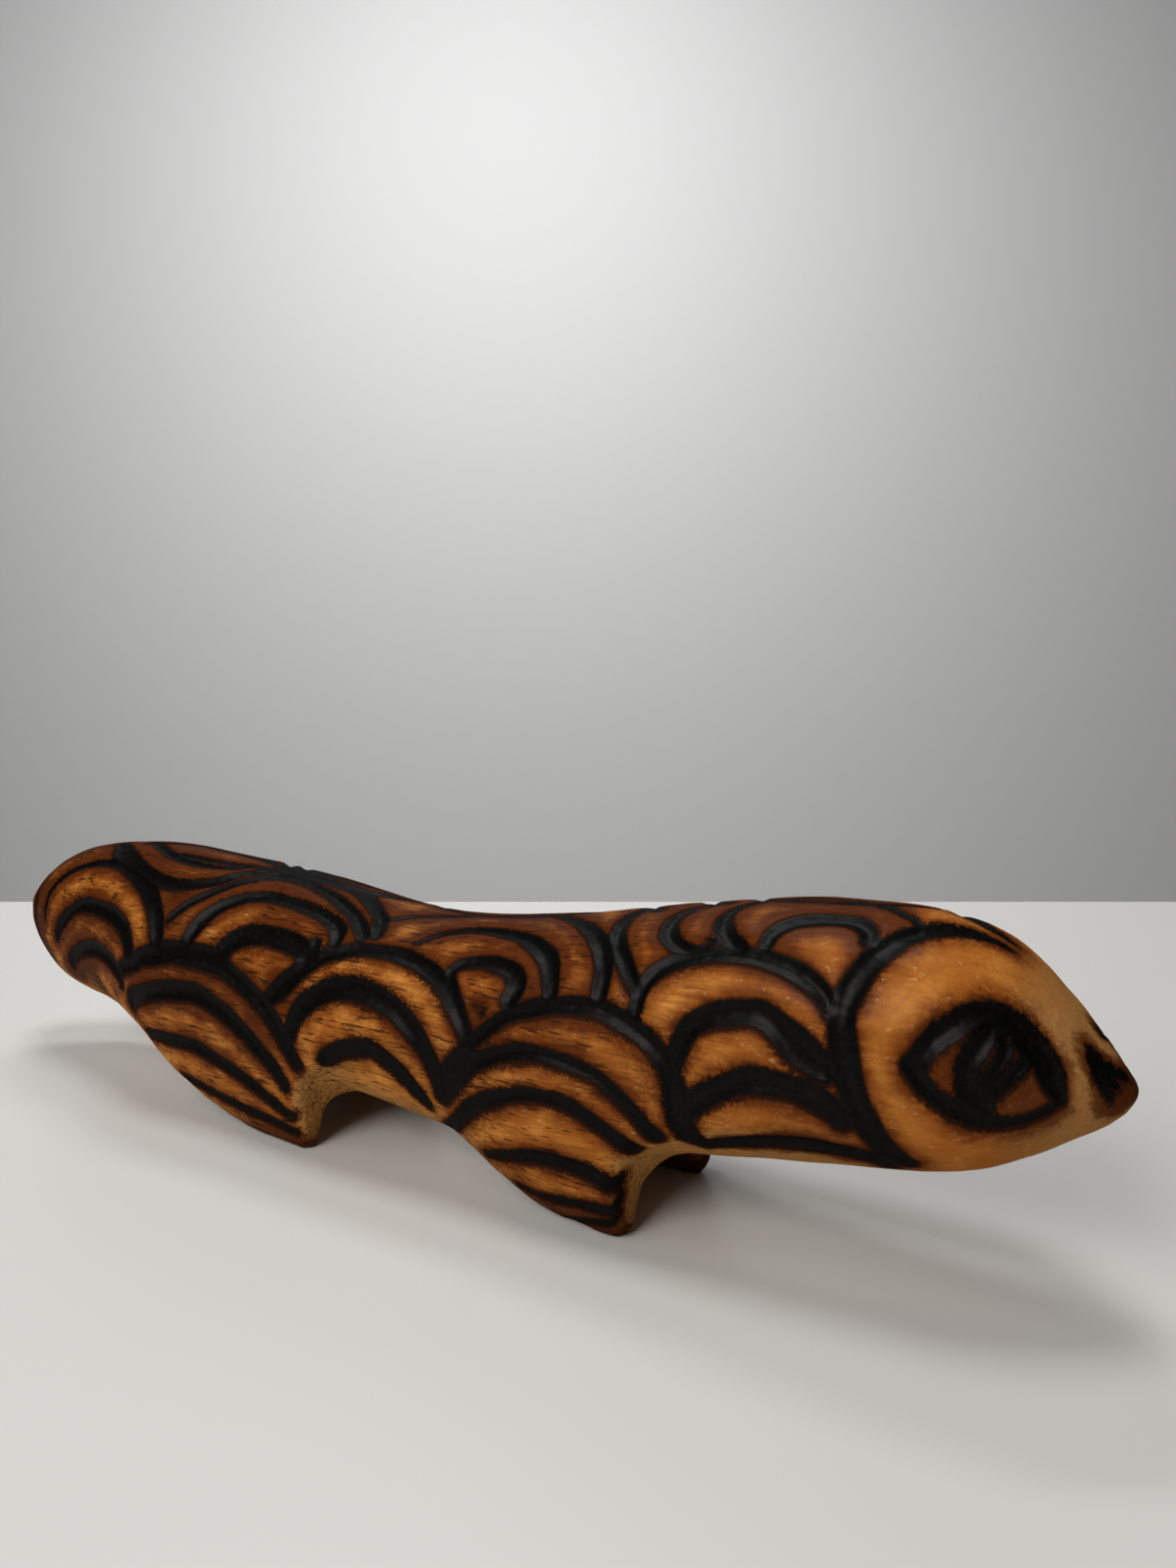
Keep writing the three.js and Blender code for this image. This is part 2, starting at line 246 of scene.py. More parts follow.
# Spots where smoke has browned the wood, on both flanks: along, round, reach in mm, strength. The broad spot
# on the tail, at -62 mm with a reach of 18 mm, is partly smoke browning and partly painted shade on the tail,
# which lies farther from the lamps.
# Past both ends of the inner line the rays fan out, so a far larger distance along is only a little nearer
# the snout's tip.
SMOKE_AND_SHADE_SPOTS = {
    "head": (
        (200.0, 93, 3.0, 0.95), (160.0, 60, 2.4, 0.6), (131.0, 98, 2.4, 0.8), (115.0, 112, 2.6, 0.8),
        (98.0, 122, 3.0, 0.5), (90.0, 35, 4.0, 0.45), (86.0, 119, 3.0, 0.4), (80.5, 130, 4.0, 0.4),
        (77.0, 125, 3.0, 0.3), (76.5, 88, 3.2, 0.7), (76.0, 0, 6.0, 0.25), (71.5, 76, 6.0, 0.85),
        (70.0, 72, 4.0, 0.9), (62.0, 28, 4.0, 0.4),
    ),
    "neck": (
        (60.0, 140, 6.0, 0.4), (58.0, 12, 6.0, 0.6), (54.0, 118, 6.0, 0.45), (50.0, 12, 6.0, 0.5),
        (48.0, 36, 7.0, 0.35),
    ),
    "shoulder": (
        (38.0, 92, 5.5, 0.45), (38.0, 5, 8.0, 0.5), (33.0, 151, 7.0, 0.6), (30.0, 76, 5.5, 0.6),
        (28.5, 45, 5.0, 0.45), (24.0, 62, 5.5, 0.7), (24.0, 150, 6.0, 0.5), (21.0, 160, 4.0, 0.7),
        (20.0, 85, 5.0, 0.5), (20.0, 0, 8.0, 0.5), (17.5, 76, 4.0, 0.5), (17.0, 84, 3.5, 0.6),
        (15.0, 152, 4.0, 0.7),
    ),
    "saddle and belly": (
        (8.0, 92, 5.0, 0.3), (5.0, 0, 9.0, 0.5), (-13.9, 110, 3.0, 0.7), (-14.0, 84, 5.0, 0.75),
    ),
    "hip and thigh": (
        (-17.0, 99, 4.0, 0.9), (-20.0, 116, 6.0, 0.35), (-20.0, 8, 9.0, 0.55), (-27.0, 102, 9.0, 0.75),
        (-29.0, 50, 5.0, 0.35), (-34.0, 60, 5.0, 0.6), (-35.5, 48, 4.0, 0.9), (-38.0, 96, 6.0, 0.8),
    ),
    "rump and tail": (
        (-43.0, 122, 3.0, 0.6), (-45.0, 8, 8.0, 0.5), (-46.0, 30, 6.0, 0.4), (-48.0, 78, 5.0, 0.6),
        (-48.0, 113, 3.5, 0.9), (-54.5, 120, 4.0, 0.95), (-55.0, 22, 7.0, 0.5), (-56.0, 114, 8.0, 0.7),
        # The broad spot at -62 mm with a reach of 18 mm is partly smoke browning and partly painted shade on
        # the tail, which lies farther from the lamps.
        (-56.0, 70, 7.0, 0.45), (-60.0, 108, 7.0, 0.45), (-61.0, 121, 4.0, 0.95), (-62.0, 70, 18.0, 0.42),
        (-65.0, 127, 4.0, 0.95), (-66.0, 10, 7.0, 0.8), (-69.5, 115, 3.5, 0.9), (-72.0, 60, 9.0, 0.5),
        (-72.0, 17, 5.0, 0.75), (-72.5, 91, 4.0, 0.8), (-74.0, 40, 6.0, 0.7), (-75.5, 64, 4.0, 0.8),
        (-75.5, 41, 4.0, 0.75), (-76.0, 30, 6.0, 0.5), (-78.0, 95, 6.0, 0.6), (-79.0, 120, 6.0, 0.7),
        (-82.0, 80, 5.0, 0.8),
    ),
}
# The far front foot is darkened all over with painted shade, as it stands in shadow: its middle and reach in
# mm, and the strength.
FAR_FOOT_SHADE = ((32.0, 9.5, 3.0), 6.5, 0.9)
# Each nostril is three short burns that fan out downward, as (along, height) in mm on the side of the snout.
NOSTRIL = (((78.7, 27.8), (81.6, 24.9)), ((78.9, 27.4), (80.9, 23.4)), ((79.3, 27.0), (81.3, 24.2)))
FAR_NOSTRIL_RISE = 1.0
NOSTRIL_WIDTHS = (0.9,)
NOSTRIL_ENDS = (0.3, 1.0)
NOSTRIL_STEPS = 12


@dataclass(frozen=True)
class Groove:
    """The form of a burnt groove in mm, with taper as a share of its length and ripple_stray in radians."""

    depth: float = 0.42
    shoulder: float = 0.9
    outer_shoulder: float = 0.25
    char_rough: float = 0.08
    grit_pitch: float = 0.9
    ripple: float = 0.028
    ripple_pitch: float = 0.95
    ripple_stray: float = 2.5
    scorch_sink: float = 0.10
    scorch_reach: float = 0.8
    waver: float = 0.16
    waver_pitch: Span = (4.0, 4.4)
    width_waver: float = 0.16
    width_pitch: float = 3.1
    sample: float = 0.25
    heat_drop: float = 0.40
    taper: float = 0.14
    thinning: float = 0.12


@dataclass(frozen=True)
class BareCuts:
    """Where the wood is left raw: each pair is where raw wood starts and where it is fully raw.

    Facings are parts of the skin's normal, all else is in mm.
    """

    belly_facing: Span = (-0.35, -0.8)
    belly_end: Span = (66.0, 50.0)
    front_facing: Span = (0.35, 0.75)
    front_height: Span = (15.0, 9.0)
    front_end: Span = (45.0, 40.0)
    front_across: Span = (6.0, 3.0)
    inner_across: Span = (11.0, 8.5)
    inner_height: Span = (9.0, 6.0)
    snout_start: Span = (71.0, 77.0)
    snout_share: float = 0.75
    beside_line: Span = (0.1, 1.0)
    tool_length: float = 7.0
    tool_width: float = 2.2
    tool_depth: float = 0.09
    polished_waver: float = 0.03


@dataclass(frozen=True)
class SmokeFields:
    """Dark soles with painted contact shadow, painted shade on upward-facing skin, and how fast the smoke and
    shade spots fall off: each strength, and where it starts and is full, in mm or as a facing.
    """

    # Dark soles with painted contact shadow low on the feet.
    dark_sole_and_shadow: float = 0.9
    dark_sole_and_shadow_height: Span = (2.9, 0.6)
    # Painted shade on upward-facing skin behind the snout, which holds the top of the body down under the
    # overhead lamps.
    top: float = 0.66
    top_shade_facing: Span = (0.50, 0.97)
    top_shade_end: Span = (66.0, 56.0)
    spot_fall: float = 2.2


@dataclass(frozen=True)
class WoodFinish:
    """The polished, scorched and bare wood, as linear colours and plain values.

    A tint is how strongly a layer of the finish covers what lies below it.
    """

    honey: Colour = (0.60, 0.250, 0.050)
    amber: Colour = (0.34, 0.107, 0.0145)
    rust: Colour = (0.165, 0.040, 0.0050)
    red: Colour = (0.062, 0.0125, 0.0022)
    bare: Colour = (0.34, 0.175, 0.060)
    pale: Colour = (0.58, 0.34, 0.15)
    umber: Colour = (0.0135, 0.0056, 0.0035)
    char: Colour = (0.0015, 0.0012, 0.0010)
    ash: Colour = (0.0036, 0.0032, 0.0030)
    polish: float = 0.10
    sheen: float = 0.15
    rough_wood: float = 0.50
    rough_bare: float = 0.70
    rough_char: float = 0.41
    rough_char_spread: Span = (-0.08, 0.10)
    coat_rough: float = 0.38
    streak_tint: float = 0.55
    raw_streak_tint: float = 0.45
    glow_tint: float = 0.84
    hair_tint: float = 0.56
    fleck_tint: float = 0.36
    # How strongly smoke and painted shade redden the wood, and from what share they turn it deep umber.
    smoke_and_shade_tint: float = 0.20
    smoke_and_shade_streak_tint: float = 0.70
    deep_smoke_and_shade_from: float = 0.60
    deep_smoke_and_shade_tint: float = 0.75
    halo_tint: float = 0.82
    pore_tint: float = 0.78
    rim_tint: float = 0.92
    polish_edge: Span = (0.9, 0.1)


@dataclass
class Trunk:
    """How places on the body become points: rays leave a line inside it, which stops short of both ends."""

    solid: BVHTree
    tail_hold: float = -70.0
    snout_hold: float = 70.0
    tip_radius: float = 12.0
    low_axis: float = 20.0
    axis_rise: float = 4.0
    rise_from: float = 20.0
    rise_over: float = 50.0
    clear_of_flank: float = 40.0

    def axis_height(self, along: float) -> float:
        """Height of the inner line in mm at a distance along the body."""
        t = min(max((along - self.rise_from) / self.rise_over, 0.0), 1.0)
        return self.low_axis + self.axis_rise * t * t * (3 - 2 * t)

    def point(self, place: Place, side: Side) -> tuple[Vector, Vector] | None:
        """The surface point and outward normal at a place.

        Args:
            place: mm along the body and degrees round it.
            side: the flank on which the degrees are counted.

        Returns:
            The point in metres and its normal, or None where the ray meets nothing.
        """
        along, degrees = place
        held = min(max(along, self.tail_hold), self.snout_hold)
        angle = math.radians(degrees) * side.value
        origin = Vector((held, 0.0, self.axis_height(held))) * MM
        way = Vector((along - held, -math.sin(angle) * self.tip_radius, math.cos(angle) * self.tip_radius))
        hit, normal, _, _ = self.solid.ray_cast(origin, way.normalized())
        return (hit, normal) if hit is not None else None

    def flank_point(self, along: float, height: float, side: Side) -> tuple[Vector, Vector] | None:
        """The surface point of one flank at a height.

        Args:
            along: mm along the body.
            height: mm above the floor.
            side: the flank.

        Returns:
            The point in metres and its normal, or None where there is no flank.
        """
        start = Vector((along, -side.value * self.clear_of_flank, height)) * MM
        hit, normal, _, _ = self.solid.ray_cast(start, Vector((0.0, side.value, 0.0)))
        return (hit, normal) if hit is not None else None


@dataclass
class BurntPattern:
    """All burnt lines of the figure, and the distance of any point of its skin from them."""

    trunk: Trunk
    groove: Groove
    points: list[Vector] = field(default_factory=list)
    normals: list[Vector] = field(default_factory=list)
    halves: list[float] = field(default_factory=list)
    runs: list[float] = field(default_factory=list)
    near_turn: float = 0.7
    turn_over: float = 40.0
    far_shift: float = 0.9
    far_phase: Span = (2.1, 1.3)
    far_spread: float = 1.02
    neighbours: int = 7
    least_agreement: float = 0.25

    def burn(self, spots: list[tuple[Vector, Vector]], widths: tuple[float, ...], ends: Span) -> None:
        """Adds one line.

        Args:
            spots: its points and normals in order, in metres.
            widths: its full width in mm at even stations.
            ends: the share of the width that is left at its first and last point.
        """
        g = self.groove
        count, run = len(spots), 0.0
        stations = np.linspace(0, 1, len(widths))
        for k, ((p0, n0), (p1, _)) in enumerate(zip(spots[:-1], spots[1:])):
            steps = max(1, round((p1 - p0).length / (g.sample * MM)))
            for s in range(steps):
                t = s / steps
                at = p0.lerp(p1, t)
                done = (k + t) / (count - 1)
                taper = min(ends[0] + (1 - ends[0]) * done / g.taper,
                            ends[1] + (1 - ends[1]) * (1 - done) / g.taper, 1.0)
                width = np.interp(done, stations, widths) - g.thinning
                swell = noise.noise(at / (g.width_pitch * MM)) * g.width_waver
                along, up = (noise.noise(at / (pitch * MM)) for pitch in g.waver_pitch)
                drift = Vector((along, 0.0, up)) * g.waver
                self.points.append(at + drift * MM)
                self.normals.append(n0)
                self.runs.append(run + (at - p0).length / MM)
                self.halves.append((width / 2 * taper + swell) * MM)
            run += (p1 - p0).length / MM

    def placed(self, mark: Arc | Trace, side: Side, phase: float) -> list[Place]:
        """A line's places on one flank: as measured on the right, and slightly shifted on the left.

        Args:
            mark: the line.
            side: the flank.
            phase: an angle that tells the shift of one line on the left from another's.

        Returns:
            The places in order.
        """
        if side is Side.RIGHT:
            return [(x, a + self.near_turn * min(a / self.turn_over, 1.0)) for x, a in mark.places()]
        shift = self.far_shift * math.sin(phase)
        return [(x + shift * min(a / self.turn_over, 1.0), a * self.far_spread) for x, a in mark.places()]

    def lay(self) -> int:
        """Lays every nest and the nostrils on both flanks.

        Returns:
            The number of lines laid.
        """
        lines = 0
        for side in Side:
            for name, nest in NESTS.items():
                for rank, mark in enumerate(nest):
                    phase = self.far_phase[0] * rank + self.far_phase[1] * len(name)
                    places = self.placed(mark, side, phase)
                    spots = [s for s in (self.trunk.point(place, side) for place in places) if s]
                    self.burn(spots, mark.widths, mark.ends)
                    lines += 1
            rise = FAR_NOSTRIL_RISE if side is Side.LEFT else 0.0
            for (x0, z0), (x1, z1) in NOSTRIL:
                shares = [t / NOSTRIL_STEPS for t in range(NOSTRIL_STEPS + 1)]
                ways = [(x0 + (x1 - x0) * t, z0 + (z1 - z0) * t + rise) for t in shares]
                spots = [s for s in (self.trunk.flank_point(x, z, side) for x, z in ways) if s]
                self.burn(spots, NOSTRIL_WIDTHS, NOSTRIL_ENDS)
                lines += 1
        return lines

    def nearest(self, places: np.ndarray, facing: np.ndarray, reach: float = 6.0) -> np.ndarray:
        """How far skin points are from the burnt lines.

        Args:
            places: points in metres, one a row.
            facing: their normals.
            reach: the largest distance given, in mm.

        Returns:
            Three rows in mm: the signed distance from the nearest edge of a line, below zero inside it, the
            same from the lines' heat, which lies a little lower, and how far along its line the place is.
        """
        line = KDTree(len(self.points))
        heat = KDTree(len(self.points))
        down = Vector((0.0, 0.0, -self.groove.heat_drop * MM))
        for k, (p, n) in enumerate(zip(self.points, self.normals)):
            line.insert(p, k)
            heat.insert(p + down - n * n.dot(down), k)
        line.balance()
        heat.balance()
        out = np.full((3, len(places)), reach)
        out[2] = 0.0
        for row, (p, n) in enumerate(zip(places, facing)):
            ahead = Vector(n)
            for kind, tree in enumerate((line, heat)):
                for _, k, gap in tree.find_n(p, self.neighbours):
                    gap = (gap - self.halves[k]) / MM
                    if gap < out[kind, row] and ahead.dot(self.normals[k]) > self.least_agreement:
                        out[kind, row] = gap
                        if tree is line:
                            out[2, row] = self.runs[k]
        return out


def fade(value: np.ndarray, low: float, high: float) -> np.ndarray:
    """Smooth rise from 0 at low to 1 at high, or a fall where high is below low."""
    t = np.clip((value - low) / (high - low), 0.0, 1.0)
    return t * t * (3 - 2 * t)


@dataclass
class Figure:
    """The carved body with its grooves, as one closed mesh."""

    node: str = "lizard"
    merge: float = 0.001
    voxel: float = 0.455
    sanding: float = 0.5
    sandings: int = 10
    groove: Groove = Groove()
    cuts: BareCuts = BareCuts()
    smoked_and_shaded: SmokeFields = SmokeFields()
    snout_tip: Triple = (82.1, 0.0, 22.8)
    snout_reach: float = 2.2
    snout_point: float = 0.65

    def blank(self) -> bpy.types.Object:
        """The smooth uncut body.

        Returns:
            A new object whose mesh is a finer copy of the node's solid.
        """
        bm = bmesh.new()
        bm.from_mesh(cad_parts[self.node].data)
        bmesh.ops.remove_doubles(bm, verts=bm.verts, dist=self.merge * MM)
        rough = bpy.data.meshes.new("blank_rough")
        bm.to_mesh(rough)
        bm.free()
        body = bpy.data.objects.new("carved_lizard", rough)
        bpy.context.scene.collection.objects.link(body)
        remesh = body.modifiers.new("even_faces", "REMESH")
        remesh.mode, remesh.voxel_size = "VOXEL", self.voxel * MM
        sanded = body.modifiers.new("sanded", "SMOOTH")
        sanded.factor, sanded.iterations = self.sanding, self.sandings
        made = bpy.data.meshes.new_from_object(body.evaluated_get(bpy.context.evaluated_depsgraph_get()))
        body.modifiers.clear()
        body.data = made
        bpy.data.meshes.remove(rough)
        return body

    @staticmethod
    def rows(mesh: bpy.types.Mesh) -> tuple[np.ndarray, np.ndarray]:
        """Places and normals of a mesh.

        Args:
            mesh: the mesh.

        Returns:
            Two arrays with one vertex a row.
        """
        count = len(mesh.vertices)
        places, facing = np.empty(count * 3), np.empty(count * 3)
        mesh.vertices.foreach_get("co", places)
        mesh.vertex_normals.foreach_get("vector", facing)
        return places.reshape(-1, 3), facing.reshape(-1, 3)

    def bare_wood(self, places: np.ndarray, facing: np.ndarray, edge: np.ndarray) -> np.ndarray:
        """How bare and pale the wood is, from 0 where it is polished to 1 on raw cuts.

        Args:
            places: vertex places in mm.
            facing: vertex normals.
            edge: distances from the burnt lines in mm.

        Returns:
            One share for each vertex.
        """
        c = self.cuts
        x, y, z = places.T
        under = fade(facing[:, 2], *c.belly_facing) * fade(np.abs(x), *c.belly_end)
        front = fade(facing[:, 0], *c.front_facing) * fade(z, *c.front_height)
        front = front * fade(x, *c.front_end) * fade(y, *c.front_across)
        inner = fade(np.abs(y), *c.inner_across) * fade(z, *c.inner_height)
        snout = c.snout_share * fade(x, *c.snout_start)
        return np.maximum.reduce([under, front, inner, snout]) * fade(edge, *c.beside_line)

    def smoke_and_shade(self, trunk: Trunk, places: np.ndarray, facing: np.ndarray) -> np.ndarray:
        """How much smoke and painted shade darken the wood, from 0 to 1.

        Args:
            trunk: finds the spots on the skin.
            places: vertex places in metres.
            facing: vertex normals.

        Returns:
            One share for each vertex.
        """
        f = self.smoked_and_shaded
        # Painted shade over the far front foot, which stands in shadow.
        middle, reach, strength = FAR_FOOT_SHADE
        gap = np.linalg.norm(places / MM - np.array(middle), axis=1) / reach
        clear = 1 - strength * np.exp(-gap ** 4)
        # Dark soles with painted contact shadow.
        clear *= 1 - f.dark_sole_and_shadow * fade(places[:, 2] / MM, *f.dark_sole_and_shadow_height)
        # Painted shade on upward-facing skin.
        clear *= 1 - f.top * fade(facing[:, 2], *f.top_shade_facing) * fade(places[:, 0] / MM, *f.top_shade_end)
        # Smoke-browned spots; the broad one on the tail is partly painted shade.
        for along, degrees, reach, strength in (spot for spots in SMOKE_AND_SHADE_SPOTS.values() for spot in spots):
            for side in Side:
                found = trunk.point((along, degrees), side)
                if found:
                    gap = np.linalg.norm(places - np.array(found[0]), axis=1) / (reach * MM)
                    clear *= 1 - strength * np.exp(-f.spot_fall * gap * gap)
        return 1 - clear

    def depths(self, places: np.ndarray, edge: np.ndarray, run: np.ndarray, bare: np.ndarray) -> np.ndarray:
        """How deep the skin sinks: grooves with rippled char, scorched margins and tool marks.

        Args:
            places: vertex places in metres.
            edge: distances from the burnt lines in mm.
            run: how far along its line each place is, in mm.
            bare: how raw the wood is.

        Returns:
            One depth in mm for each vertex.
        """
        g, c = self.groove, self.cuts
        grit = np.array([noise.noise(Vector(p) / (g.grit_pitch * MM)) for p in places])
        ripple = np.sin(run * 2 * math.pi / g.ripple_pitch + g.ripple_stray * grit)
        sink = (g.depth + g.char_rough * grit + g.ripple * ripple) * fade(edge, g.outer_shoulder, -g.shoulder)
        sink += g.scorch_sink * np.exp(-np.maximum(edge, 0) / g.scorch_reach)
        pitch = np.array((c.tool_length, c.tool_width, c.tool_width))
        marks = np.array([noise.noise(Vector(p / pitch) / MM) for p in places])
        return sink + (c.tool_depth * bare + c.polished_waver) * marks

    def cut_grooves(self, body: bpy.types.Object) -> int:
        """Sinks the burnt lines into the skin, draws out the snout and stores what the finish needs.

        Args:
            body: the smooth body.

        Returns:
            The number of burnt lines.
        """
        mesh = body.data
        trunk = Trunk(BVHTree.FromObject(body, bpy.context.evaluated_depsgraph_get()))
        pattern = BurntPattern(trunk, self.groove)
        lines = pattern.lay()
        places, facing = self.rows(mesh)
        edge, heat, run = pattern.nearest(places, facing)
        smoke_and_shade = self.smoke_and_shade(trunk, places, facing)
        bare = self.bare_wood(places / MM, facing, edge)
        sink = self.depths(places, edge, run, bare)
        moved = places - facing * (sink * MM)[:, None]
        gap = np.linalg.norm(places / MM - np.array(self.snout_tip), axis=1) / self.snout_reach
        moved[:, 0] += self.snout_point * MM * np.exp(-gap * gap)
        moved[:, 2] = np.maximum(moved[:, 2], 0.0)
        mesh.vertices.foreach_set("co", moved.ravel())
        for name, values in (
            ("edge_mm", edge),
            ("heat_mm", np.minimum(edge, heat)),
            ("bare", bare),
            ("smoke_and_shade", smoke_and_shade),
            ("run_mm", run),
        ):
            layer = mesh.attributes.new(name, "FLOAT", "POINT")
            layer.data.foreach_set("value", values.astype(np.float32))
        mesh.shade_smooth()
        mesh.update()
        return lines

    def build(self) -> bpy.types.Object:
        """Makes the dressed figure.

        Returns:
            The figure, riding on the root body in place of the plain solid.
        """
        body = self.blank()
        lines = self.cut_grooves(body)
        body.data.materials.clear()
        body.data.materials.append(BurntWood().material())
        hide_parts(self.node)
        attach(body, "root")
        LOG.info("carved_lizard: %d faces, %d burnt lines", len(body.data.polygons), lines)
        return body


EVEN = (1.0, 1.0, 1.0)


@dataclass(frozen=True)
class Speckle:
    """One noise texture: its scale per metre, and the share of that scale used along each axis."""

    scale: float
    detail: float = 3.0
    rough: float = 0.55
    stretch: Triple = EVEN


class MixKind(Enum):
    """What a mix node mixes: its name there, its first input's number and its output's number."""

    COLOUR = ("RGBA", 6, 2)
    NUMBER = ("FLOAT", 2, 0)


class Nodes:
    """A small helper that places and links shader nodes in one tree."""

    def __init__(self, tree: bpy.types.NodeTree) -> None:
        """Keeps the tree."""
        self.tree = tree

    def add(self, kind: str, **inputs: object) -> bpy.types.Node:
        """Adds a node.

        Args:
            kind: its type name.
            inputs: attributes of the node in lower case, or its sockets by name with _ for a space.

        Returns:
            The node.
        """
        node = self.tree.nodes.new(kind)
        for key, value in inputs.items():
            if hasattr(node, key):
                setattr(node, key, value)
            else:
                self.put(node.inputs[key.replace("_", " ")], value)
        return node

    def put(self, socket: bpy.types.NodeSocket, value: object) -> None:
        """Links another socket to this one, or sets its value."""
        if isinstance(value, bpy.types.NodeSocket):
            self.tree.links.new(value, socket)
        else:
            socket.default_value = value

    def math(self, operation: str, a: object, b: object = 0.0, clamp: bool = False) -> bpy.types.NodeSocket:
        """A math node.

        Args:
            operation: what it does.
            a: its first number.
            b: its second number.
            clamp: whether the result is held between 0 and 1.

        Returns:
            The result's socket.
        """
        node = self.add("ShaderNodeMath", operation=operation, use_clamp=clamp)
        self.put(node.inputs[0], a)
        self.put(node.inputs[1], b)
        return node.outputs[0]

    def fade(
        self, value: object, low: float, high: float, to_low: float = 0.0, to_high: float = 1.0
    ) -> bpy.types.NodeSocket:
        """A smooth rise between two values.

        Args:
            value: the socket that is read.
            low: where the rise starts.
            high: where it ends.
            to_low: the result at the start.
            to_high: the result at the end.

        Returns:
            The result's socket.
        """
        span = {"From_Min": low, "From_Max": high, "To_Min": to_low, "To_Max": to_high}
        node = self.add("ShaderNodeMapRange", interpolation_type="SMOOTHSTEP", Value=value, **span)
        return node.outputs["Result"]

    def noise(self, where: object, speckle: Speckle) -> bpy.types.NodeSocket:
        """A noise texture.

        Args:
            where: the coordinates.
            speckle: its size and form.

        Returns:
            Its value, between 0 and 1.
        """
        if speckle.stretch != EVEN:
            where = self.add("ShaderNodeMapping", Scale=speckle.stretch, Vector=where).outputs[0]
        form = {"Scale": speckle.scale, "Detail": speckle.detail, "Roughness": speckle.rough}
        return self.add("ShaderNodeTexNoise", Vector=where, **form).outputs["Fac"]

    def swing(self, where: object, speckle: Speckle) -> bpy.types.NodeSocket:
        """A noise texture's value between -0.5 and 0.5."""
        return self.math("SUBTRACT", self.noise(where, speckle), 0.5)

    def tint(self, share: object, strength: float, below: object, colour: object) -> bpy.types.NodeSocket:
        """A colour laid over another where the share is above 0, at most as strongly as given."""
        return self.mix(self.math("MULTIPLY", share, strength), below, colour)

    def mix(
        self, share: object, a: object, b: object, kind: MixKind = MixKind.COLOUR
    ) -> bpy.types.NodeSocket:
        """A mix node.

        Args:
            share: how much of the second there is.
            a: the first colour or number.
            b: the second.
            kind: what is mixed.

        Returns:
            The mix.
        """
        data_type, first, result = kind.value
        node = self.add("ShaderNodeMix", data_type=data_type)
        for socket, v in ((node.inputs[0], share), (node.inputs[first], a), (node.inputs[first + 1], b)):
            self.put(socket, (*v, 1.0) if isinstance(v, tuple) else v)
        return node.outputs[result]

    def attribute(self, name: str) -> bpy.types.NodeSocket:
        """A number stored on the mesh."""
        return self.add("ShaderNodeAttribute", attribute_name=name).outputs["Fac"]


def new_group(
    name: str, inputs: tuple[str, ...], outputs: tuple[str, ...]
) -> tuple[bpy.types.NodeTree, Nodes]:
    """An empty shader node group with float sockets, and a vector input named Vector first.

    Args:
        name: the group's name.
        inputs: names of its float inputs.
        outputs: names of its float outputs.

    Returns:
        The group and a helper on it.
    """
    tree = bpy.data.node_groups.new(name, "ShaderNodeTree")
    tree.interface.new_socket("Vector", in_out="INPUT", socket_type="NodeSocketVector")
    for key in inputs:
        tree.interface.new_socket(key, in_out="INPUT", socket_type="NodeSocketFloat")
    for key in outputs:
        tree.interface.new_socket(key, in_out="OUTPUT", socket_type="NodeSocketFloat")
    return tree, Nodes(tree)


@dataclass(frozen=True)
class Grain:
    """Wood grain along X.

    A span is the noise's value where a mark starts and where it is full. In calm_head and few_pores it is the
    mm along the body where the grain is weakest and where it is full.
    """

    streaks: Speckle = Speckle(1500.0, 4.0, 0.6, (0.09, 1.0, 1.0))
    hairs: Speckle = Speckle(3400.0, 3.0, 0.6, (0.045, 1.0, 1.0))
    pores: Speckle = Speckle(2600.0, 2.0, 0.5, (0.13, 1.0, 1.0))
    flecks: Speckle = Speckle(1700.0, 2.0, 0.6, (0.7, 1.0, 1.3))
    cloud: Speckle = Speckle(170.0, 4.0, 0.62)
    streak_span: Span = (0.36, 0.66)
    hair_span: Span = (0.46, 0.66)
    pore_span: Span = (0.57, 0.66)
    fleck_span: Span = (0.62, 0.74)
    cloud_span: Span = (0.36, 0.64)
    calm_head: Span = (58.0, 36.0)
    calm_share: float = 0.35
    calm_cloud: float = 0.38
    few_pores: Span = (50.0, 25.0)
    few_share: float = 0.12

    def group(self) -> bpy.types.NodeTree:
        """A node group with streaks, hairlines, dark pores, pale flecks and cloudiness.

        Returns:
            The group. All but the flecks are calmer on the head.
        """
        tree, n = new_group("wood_grain", (), ("Streaks", "Hairs", "Pores", "Flecks", "Cloud"))
        given = n.add("NodeGroupInput").outputs["Vector"]
        out = n.add("NodeGroupOutput")
        along = n.add("ShaderNodeSeparateXYZ", Vector=given).outputs["X"]
        calm = n.fade(along, *(x * MM for x in self.calm_head), self.calm_share, 1.0)
        rear = n.fade(along, *(x * MM for x in self.few_pores), self.few_share, 1.0)
        clear = n.fade(calm, self.calm_share, 1.0, self.calm_cloud, 1.0)
        for key, speckle, span, share in (
            ("Streaks", self.streaks, self.streak_span, calm),
            ("Hairs", self.hairs, self.hair_span, calm),
            ("Pores", self.pores, self.pore_span, rear),
            ("Cloud", self.cloud, self.cloud_span, clear),
        ):
            marks = n.fade(n.noise(given, speckle), *span)
            n.put(out.inputs[key], n.math("MULTIPLY", marks, share))
        n.put(out.inputs["Flecks"], n.fade(n.noise(given, self.flecks), *self.fleck_span))
        return tree


